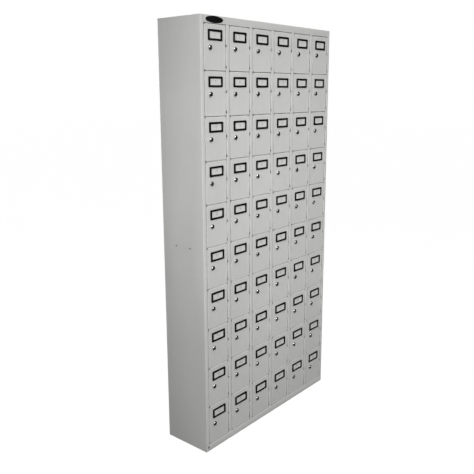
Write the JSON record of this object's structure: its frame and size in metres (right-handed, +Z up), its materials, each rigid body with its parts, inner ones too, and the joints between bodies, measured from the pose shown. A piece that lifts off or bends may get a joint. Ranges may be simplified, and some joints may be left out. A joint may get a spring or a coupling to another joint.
{
  "type": "multi-door steel locker bank",
  "caption": "Tall free-standing sheet-steel locker bank with a grid of small hinged doors, each with a cam lock and a framed label card.",
  "frame": {"origin": "middle of the overall footprint, hinge barrels included, at floor level", "axes": "+X to the right seen from the front, +Y from the doors to the back panel, +Z up"},
  "size_m": [0.9, 0.2364, 1.8],
  "materials": {
    "cabinet_paint": "light grey powder coat, satin",
    "door_paint": "light grey powder coat, satin",
    "hinge_paint": "light grey powder coat over welded steel",
    "pin_steel": "plain drawn steel",
    "lock_chrome": "polished chrome plate",
    "black_plastic": "black moulded plastic"
  },
  "bodies": {
    "cabinet": {"left_side_panel": "cabinet_paint", "right_side_panel": "cabinet_paint", "top_panel": "cabinet_paint", "base_panel": "cabinet_paint", "back_panel": "cabinet_paint", "column_partitions": "cabinet_paint", "front_posts": "cabinet_paint", "compartment_shelves": "cabinet_paint", "badge_plate": "black_plastic", "hinge_frame_knuckles": "hinge_paint", "hinge_pins": "pin_steel"},
    "door_r01_c1": {"door_r01_c1": "door_paint"},
    "lock_r01_c1": {"lock_r01_c1": "lock_chrome"},
    "door_r01_c2": {"door_r01_c2": "door_paint"},
    "lock_r01_c2": {"lock_r01_c2": "lock_chrome"},
    "door_r01_c3": {"door_r01_c3": "door_paint"},
    "lock_r01_c3": {"lock_r01_c3": "lock_chrome"},
    "door_r01_c4": {"door_r01_c4": "door_paint"},
    "lock_r01_c4": {"lock_r01_c4": "lock_chrome"},
    "door_r01_c5": {"door_r01_c5": "door_paint"},
    "lock_r01_c5": {"lock_r01_c5": "lock_chrome"},
    "door_r01_c6": {"door_r01_c6": "door_paint"},
    "lock_r01_c6": {"lock_r01_c6": "lock_chrome"},
    "door_r02_c1": {"door_r02_c1": "door_paint"},
    "door_r02_c2": {"door_r02_c2": "door_paint"},
    "door_r02_c3": {"door_r02_c3": "door_paint"},
    "door_r02_c4": {"door_r02_c4": "door_paint"},
    "door_r02_c5": {"door_r02_c5": "door_paint"},
    "door_r02_c6": {"door_r02_c6": "door_paint"},
    "door_r03_c1": {"door_r03_c1": "door_paint"},
    "door_r03_c2": {"door_r03_c2": "door_paint"},
    "door_r03_c3": {"door_r03_c3": "door_paint"},
    "door_r03_c4": {"door_r03_c4": "door_paint"},
    "door_r03_c5": {"door_r03_c5": "door_paint"},
    "door_r03_c6": {"door_r03_c6": "door_paint"},
    "door_r04_c1": {"door_r04_c1": "door_paint"},
    "door_r04_c2": {"door_r04_c2": "door_paint"},
    "door_r04_c3": {"door_r04_c3": "door_paint"},
    "door_r04_c4": {"door_r04_c4": "door_paint"},
    "door_r04_c5": {"door_r04_c5": "door_paint"},
    "door_r04_c6": {"door_r04_c6": "door_paint"},
    "door_r05_c1": {"door_r05_c1": "door_paint"},
    "door_r05_c2": {"door_r05_c2": "door_paint"},
    "door_r05_c3": {"door_r05_c3": "door_paint"},
    "door_r05_c4": {"door_r05_c4": "door_paint"},
    "door_r05_c5": {"door_r05_c5": "door_paint"},
    "door_r05_c6": {"door_r05_c6": "door_paint"},
    "doors_r06_r07_c1": {"doors_r06_r07_c1": "door_paint"},
    "doors_r06_r07_c2": {"doors_r06_r07_c2": "door_paint"},
    "doors_r06_r07_c3": {"doors_r06_r07_c3": "door_paint"},
    "doors_r06_r07_c4": {"doors_r06_r07_c4": "door_paint"},
    "doors_r06_r07_c5": {"doors_r06_r07_c5": "door_paint"},
    "doors_r06_r07_c6": {"doors_r06_r07_c6": "door_paint"},
    "doors_r08_r10_c1": {"doors_r08_r10_c1": "door_paint"},
    "doors_r08_r10_c2": {"doors_r08_r10_c2": "door_paint"},
    "doors_r08_r10_c3": {"doors_r08_r10_c3": "door_paint"},
    "doors_r08_r10_c4": {"doors_r08_r10_c4": "door_paint"},
    "doors_r08_r10_c5": {"doors_r08_r10_c5": "door_paint"},
    "doors_r08_r10_c6": {"doors_r08_r10_c6": "door_paint"}
  },
  "joints": [
    {"name": "door_r01_c1_swing", "type": "hinge", "parent": "cabinet", "child": "door_r01_c1", "pos_m": [-0.3055, -0.1148, 1.683], "axis": [0, 0, 1], "range_deg": [0, 110]},
    {"name": "lock_r01_c1_turn", "type": "hinge", "parent": "door_r01_c1", "child": "lock_r01_c1", "pos_m": [-0.3975, -0.11175, 1.682], "axis": [0, 1, 0], "range_deg": [0, 90]},
    {"name": "door_r01_c2_swing", "type": "hinge", "parent": "cabinet", "child": "door_r01_c2", "pos_m": [-0.1585, -0.1148, 1.683], "axis": [0, 0, 1], "range_deg": [0, 110]},
    {"name": "lock_r01_c2_turn", "type": "hinge", "parent": "door_r01_c2", "child": "lock_r01_c2", "pos_m": [-0.2505, -0.11175, 1.682], "axis": [0, 1, 0], "range_deg": [0, 90]},
    {"name": "door_r01_c3_swing", "type": "hinge", "parent": "cabinet", "child": "door_r01_c3", "pos_m": [-0.0115, -0.1148, 1.683], "axis": [0, 0, 1], "range_deg": [0, 110]},
    {"name": "lock_r01_c3_turn", "type": "hinge", "parent": "door_r01_c3", "child": "lock_r01_c3", "pos_m": [-0.1035, -0.11175, 1.682], "axis": [0, 1, 0], "range_deg": [0, 90]},
    {"name": "door_r01_c4_swing", "type": "hinge", "parent": "cabinet", "child": "door_r01_c4", "pos_m": [0.1355, -0.1148, 1.683], "axis": [0, 0, 1], "range_deg": [0, 110]},
    {"name": "lock_r01_c4_turn", "type": "hinge", "parent": "door_r01_c4", "child": "lock_r01_c4", "pos_m": [0.0435, -0.11175, 1.682], "axis": [0, 1, 0], "range_deg": [0, 90]},
    {"name": "door_r01_c5_swing", "type": "hinge", "parent": "cabinet", "child": "door_r01_c5", "pos_m": [0.2825, -0.1148, 1.683], "axis": [0, 0, 1], "range_deg": [0, 110]},
    {"name": "lock_r01_c5_turn", "type": "hinge", "parent": "door_r01_c5", "child": "lock_r01_c5", "pos_m": [0.1905, -0.11175, 1.682], "axis": [0, 1, 0], "range_deg": [0, 90]},
    {"name": "door_r01_c6_swing", "type": "hinge", "parent": "cabinet", "child": "door_r01_c6", "pos_m": [0.4295, -0.1148, 1.683], "axis": [0, 0, 1], "range_deg": [0, 110]},
    {"name": "lock_r01_c6_turn", "type": "hinge", "parent": "door_r01_c6", "child": "lock_r01_c6", "pos_m": [0.3375, -0.11175, 1.682], "axis": [0, 1, 0], "range_deg": [0, 90]},
    {"name": "door_r02_c1_swing", "type": "hinge", "parent": "cabinet", "child": "door_r02_c1", "pos_m": [-0.3055, -0.1148, 1.509], "axis": [0, 0, 1], "range_deg": [0, 110]},
    {"name": "door_r02_c2_swing", "type": "hinge", "parent": "cabinet", "child": "door_r02_c2", "pos_m": [-0.1585, -0.1148, 1.509], "axis": [0, 0, 1], "range_deg": [0, 110]},
    {"name": "door_r02_c3_swing", "type": "hinge", "parent": "cabinet", "child": "door_r02_c3", "pos_m": [-0.0115, -0.1148, 1.509], "axis": [0, 0, 1], "range_deg": [0, 110]},
    {"name": "door_r02_c4_swing", "type": "hinge", "parent": "cabinet", "child": "door_r02_c4", "pos_m": [0.1355, -0.1148, 1.509], "axis": [0, 0, 1], "range_deg": [0, 110]},
    {"name": "door_r02_c5_swing", "type": "hinge", "parent": "cabinet", "child": "door_r02_c5", "pos_m": [0.2825, -0.1148, 1.509], "axis": [0, 0, 1], "range_deg": [0, 110]},
    {"name": "door_r02_c6_swing", "type": "hinge", "parent": "cabinet", "child": "door_r02_c6", "pos_m": [0.4295, -0.1148, 1.509], "axis": [0, 0, 1], "range_deg": [0, 110]},
    {"name": "door_r03_c1_swing", "type": "hinge", "parent": "cabinet", "child": "door_r03_c1", "pos_m": [-0.3055, -0.1148, 1.335], "axis": [0, 0, 1], "range_deg": [0, 110]},
    {"name": "door_r03_c2_swing", "type": "hinge", "parent": "cabinet", "child": "door_r03_c2", "pos_m": [-0.1585, -0.1148, 1.335], "axis": [0, 0, 1], "range_deg": [0, 110]},
    {"name": "door_r03_c3_swing", "type": "hinge", "parent": "cabinet", "child": "door_r03_c3", "pos_m": [-0.0115, -0.1148, 1.335], "axis": [0, 0, 1], "range_deg": [0, 110]},
    {"name": "door_r03_c4_swing", "type": "hinge", "parent": "cabinet", "child": "door_r03_c4", "pos_m": [0.1355, -0.1148, 1.335], "axis": [0, 0, 1], "range_deg": [0, 110]},
    {"name": "door_r03_c5_swing", "type": "hinge", "parent": "cabinet", "child": "door_r03_c5", "pos_m": [0.2825, -0.1148, 1.335], "axis": [0, 0, 1], "range_deg": [0, 110]},
    {"name": "door_r03_c6_swing", "type": "hinge", "parent": "cabinet", "child": "door_r03_c6", "pos_m": [0.4295, -0.1148, 1.335], "axis": [0, 0, 1], "range_deg": [0, 110]},
    {"name": "door_r04_c1_swing", "type": "hinge", "parent": "cabinet", "child": "door_r04_c1", "pos_m": [-0.3055, -0.1148, 1.161], "axis": [0, 0, 1], "range_deg": [0, 110]},
    {"name": "door_r04_c2_swing", "type": "hinge", "parent": "cabinet", "child": "door_r04_c2", "pos_m": [-0.1585, -0.1148, 1.161], "axis": [0, 0, 1], "range_deg": [0, 110]},
    {"name": "door_r04_c3_swing", "type": "hinge", "parent": "cabinet", "child": "door_r04_c3", "pos_m": [-0.0115, -0.1148, 1.161], "axis": [0, 0, 1], "range_deg": [0, 110]},
    {"name": "door_r04_c4_swing", "type": "hinge", "parent": "cabinet", "child": "door_r04_c4", "pos_m": [0.1355, -0.1148, 1.161], "axis": [0, 0, 1], "range_deg": [0, 110]},
    {"name": "door_r04_c5_swing", "type": "hinge", "parent": "cabinet", "child": "door_r04_c5", "pos_m": [0.2825, -0.1148, 1.161], "axis": [0, 0, 1], "range_deg": [0, 110]},
    {"name": "door_r04_c6_swing", "type": "hinge", "parent": "cabinet", "child": "door_r04_c6", "pos_m": [0.4295, -0.1148, 1.161], "axis": [0, 0, 1], "range_deg": [0, 110]},
    {"name": "door_r05_c1_swing", "type": "hinge", "parent": "cabinet", "child": "door_r05_c1", "pos_m": [-0.3055, -0.1148, 0.987], "axis": [0, 0, 1], "range_deg": [0, 110]},
    {"name": "door_r05_c2_swing", "type": "hinge", "parent": "cabinet", "child": "door_r05_c2", "pos_m": [-0.1585, -0.1148, 0.987], "axis": [0, 0, 1], "range_deg": [0, 110]},
    {"name": "door_r05_c3_swing", "type": "hinge", "parent": "cabinet", "child": "door_r05_c3", "pos_m": [-0.0115, -0.1148, 0.987], "axis": [0, 0, 1], "range_deg": [0, 110]},
    {"name": "door_r05_c4_swing", "type": "hinge", "parent": "cabinet", "child": "door_r05_c4", "pos_m": [0.1355, -0.1148, 0.987], "axis": [0, 0, 1], "range_deg": [0, 110]},
    {"name": "door_r05_c5_swing", "type": "hinge", "parent": "cabinet", "child": "door_r05_c5", "pos_m": [0.2825, -0.1148, 0.987], "axis": [0, 0, 1], "range_deg": [0, 110]},
    {"name": "door_r05_c6_swing", "type": "hinge", "parent": "cabinet", "child": "door_r05_c6", "pos_m": [0.4295, -0.1148, 0.987], "axis": [0, 0, 1], "range_deg": [0, 110]},
    {"name": "doors_r06_r07_c1_swing", "type": "hinge", "parent": "cabinet", "child": "doors_r06_r07_c1", "pos_m": [-0.3055, -0.1148, 0.726], "axis": [0, 0, 1], "range_deg": [0, 110]},
    {"name": "doors_r06_r07_c2_swing", "type": "hinge", "parent": "cabinet", "child": "doors_r06_r07_c2", "pos_m": [-0.1585, -0.1148, 0.726], "axis": [0, 0, 1], "range_deg": [0, 110]},
    {"name": "doors_r06_r07_c3_swing", "type": "hinge", "parent": "cabinet", "child": "doors_r06_r07_c3", "pos_m": [-0.0115, -0.1148, 0.726], "axis": [0, 0, 1], "range_deg": [0, 110]},
    {"name": "doors_r06_r07_c4_swing", "type": "hinge", "parent": "cabinet", "child": "doors_r06_r07_c4", "pos_m": [0.1355, -0.1148, 0.726], "axis": [0, 0, 1], "range_deg": [0, 110]},
    {"name": "doors_r06_r07_c5_swing", "type": "hinge", "parent": "cabinet", "child": "doors_r06_r07_c5", "pos_m": [0.2825, -0.1148, 0.726], "axis": [0, 0, 1], "range_deg": [0, 110]},
    {"name": "doors_r06_r07_c6_swing", "type": "hinge", "parent": "cabinet", "child": "doors_r06_r07_c6", "pos_m": [0.4295, -0.1148, 0.726], "axis": [0, 0, 1], "range_deg": [0, 110]},
    {"name": "doors_r08_r10_c1_swing", "type": "hinge", "parent": "cabinet", "child": "doors_r08_r10_c1", "pos_m": [-0.3055, -0.1148, 0.291], "axis": [0, 0, 1], "range_deg": [0, 110]},
    {"name": "doors_r08_r10_c2_swing", "type": "hinge", "parent": "cabinet", "child": "doors_r08_r10_c2", "pos_m": [-0.1585, -0.1148, 0.291], "axis": [0, 0, 1], "range_deg": [0, 110]},
    {"name": "doors_r08_r10_c3_swing", "type": "hinge", "parent": "cabinet", "child": "doors_r08_r10_c3", "pos_m": [-0.0115, -0.1148, 0.291], "axis": [0, 0, 1], "range_deg": [0, 110]},
    {"name": "doors_r08_r10_c4_swing", "type": "hinge", "parent": "cabinet", "child": "doors_r08_r10_c4", "pos_m": [0.1355, -0.1148, 0.291], "axis": [0, 0, 1], "range_deg": [0, 110]},
    {"name": "doors_r08_r10_c5_swing", "type": "hinge", "parent": "cabinet", "child": "doors_r08_r10_c5", "pos_m": [0.2825, -0.1148, 0.291], "axis": [0, 0, 1], "range_deg": [0, 110]},
    {"name": "doors_r08_r10_c6_swing", "type": "hinge", "parent": "cabinet", "child": "doors_r08_r10_c6", "pos_m": [0.4295, -0.1148, 0.291], "axis": [0, 0, 1], "range_deg": [0, 110]}
  ]
}
